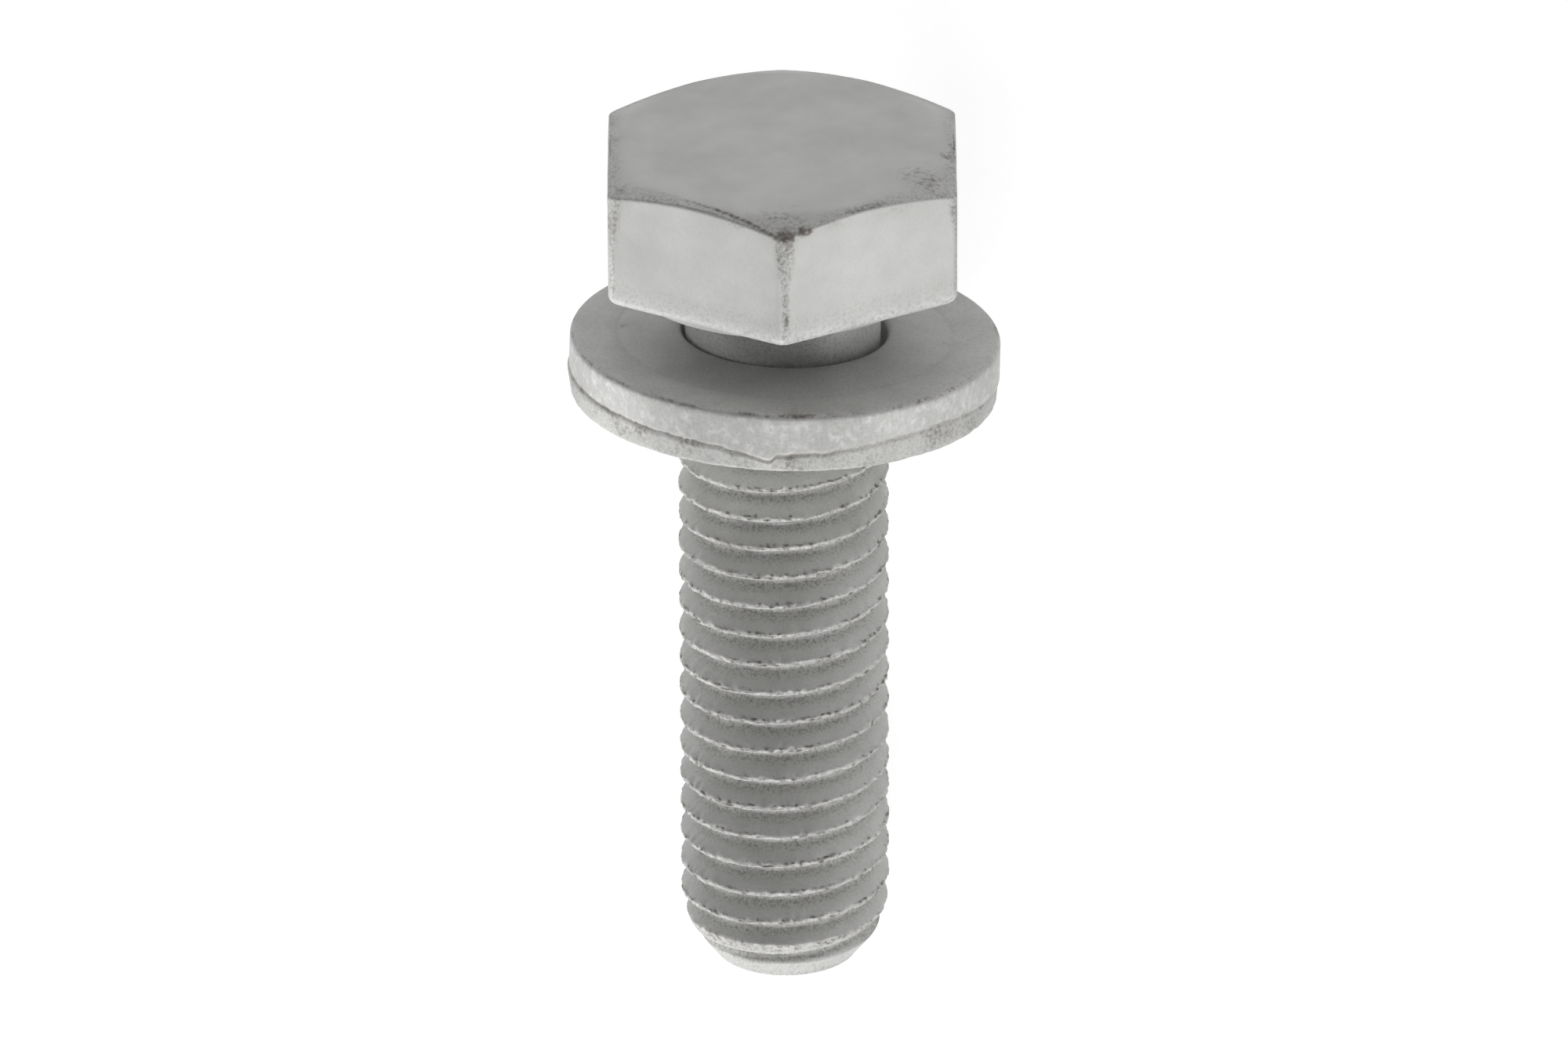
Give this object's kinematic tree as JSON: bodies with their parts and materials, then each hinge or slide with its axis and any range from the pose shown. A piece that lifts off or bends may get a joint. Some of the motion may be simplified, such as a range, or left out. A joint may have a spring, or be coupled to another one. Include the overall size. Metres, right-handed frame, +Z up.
{
  "type": "hexagon head screw with captive washer",
  "caption": "Hexagon head screw with a coarse thread, a bevelled tip and a thick round washer that slides and leans loosely on the neck under the head.",
  "frame": {"origin": "on the floor under the middle of the part's box, as it lies on the washer's rim and the thread's end", "axes": "+Z up, +Y towards the head, which the washer holds off the floor, +X to the right seen from the tip"},
  "size_m": [0.02, 0.0428, 0.0201],
  "materials": {
    "screw_steel": "cold-headed and thread-rolled steel with a dull light grey zinc flake coating",
    "washer_steel": "blanked steel plate with the same dull light grey coating"
  },
  "bodies": {
    "screw": {"screw": "screw_steel"},
    "captive_washer": {"washer": "washer_steel"}
  },
  "joints": [
    {"name": "washer_slide", "type": "slide", "parent": "screw", "child": "captive_washer", "axis": [0, 0.9838, 0.1795], "range_m": [0, 0.0026]}
  ]
}
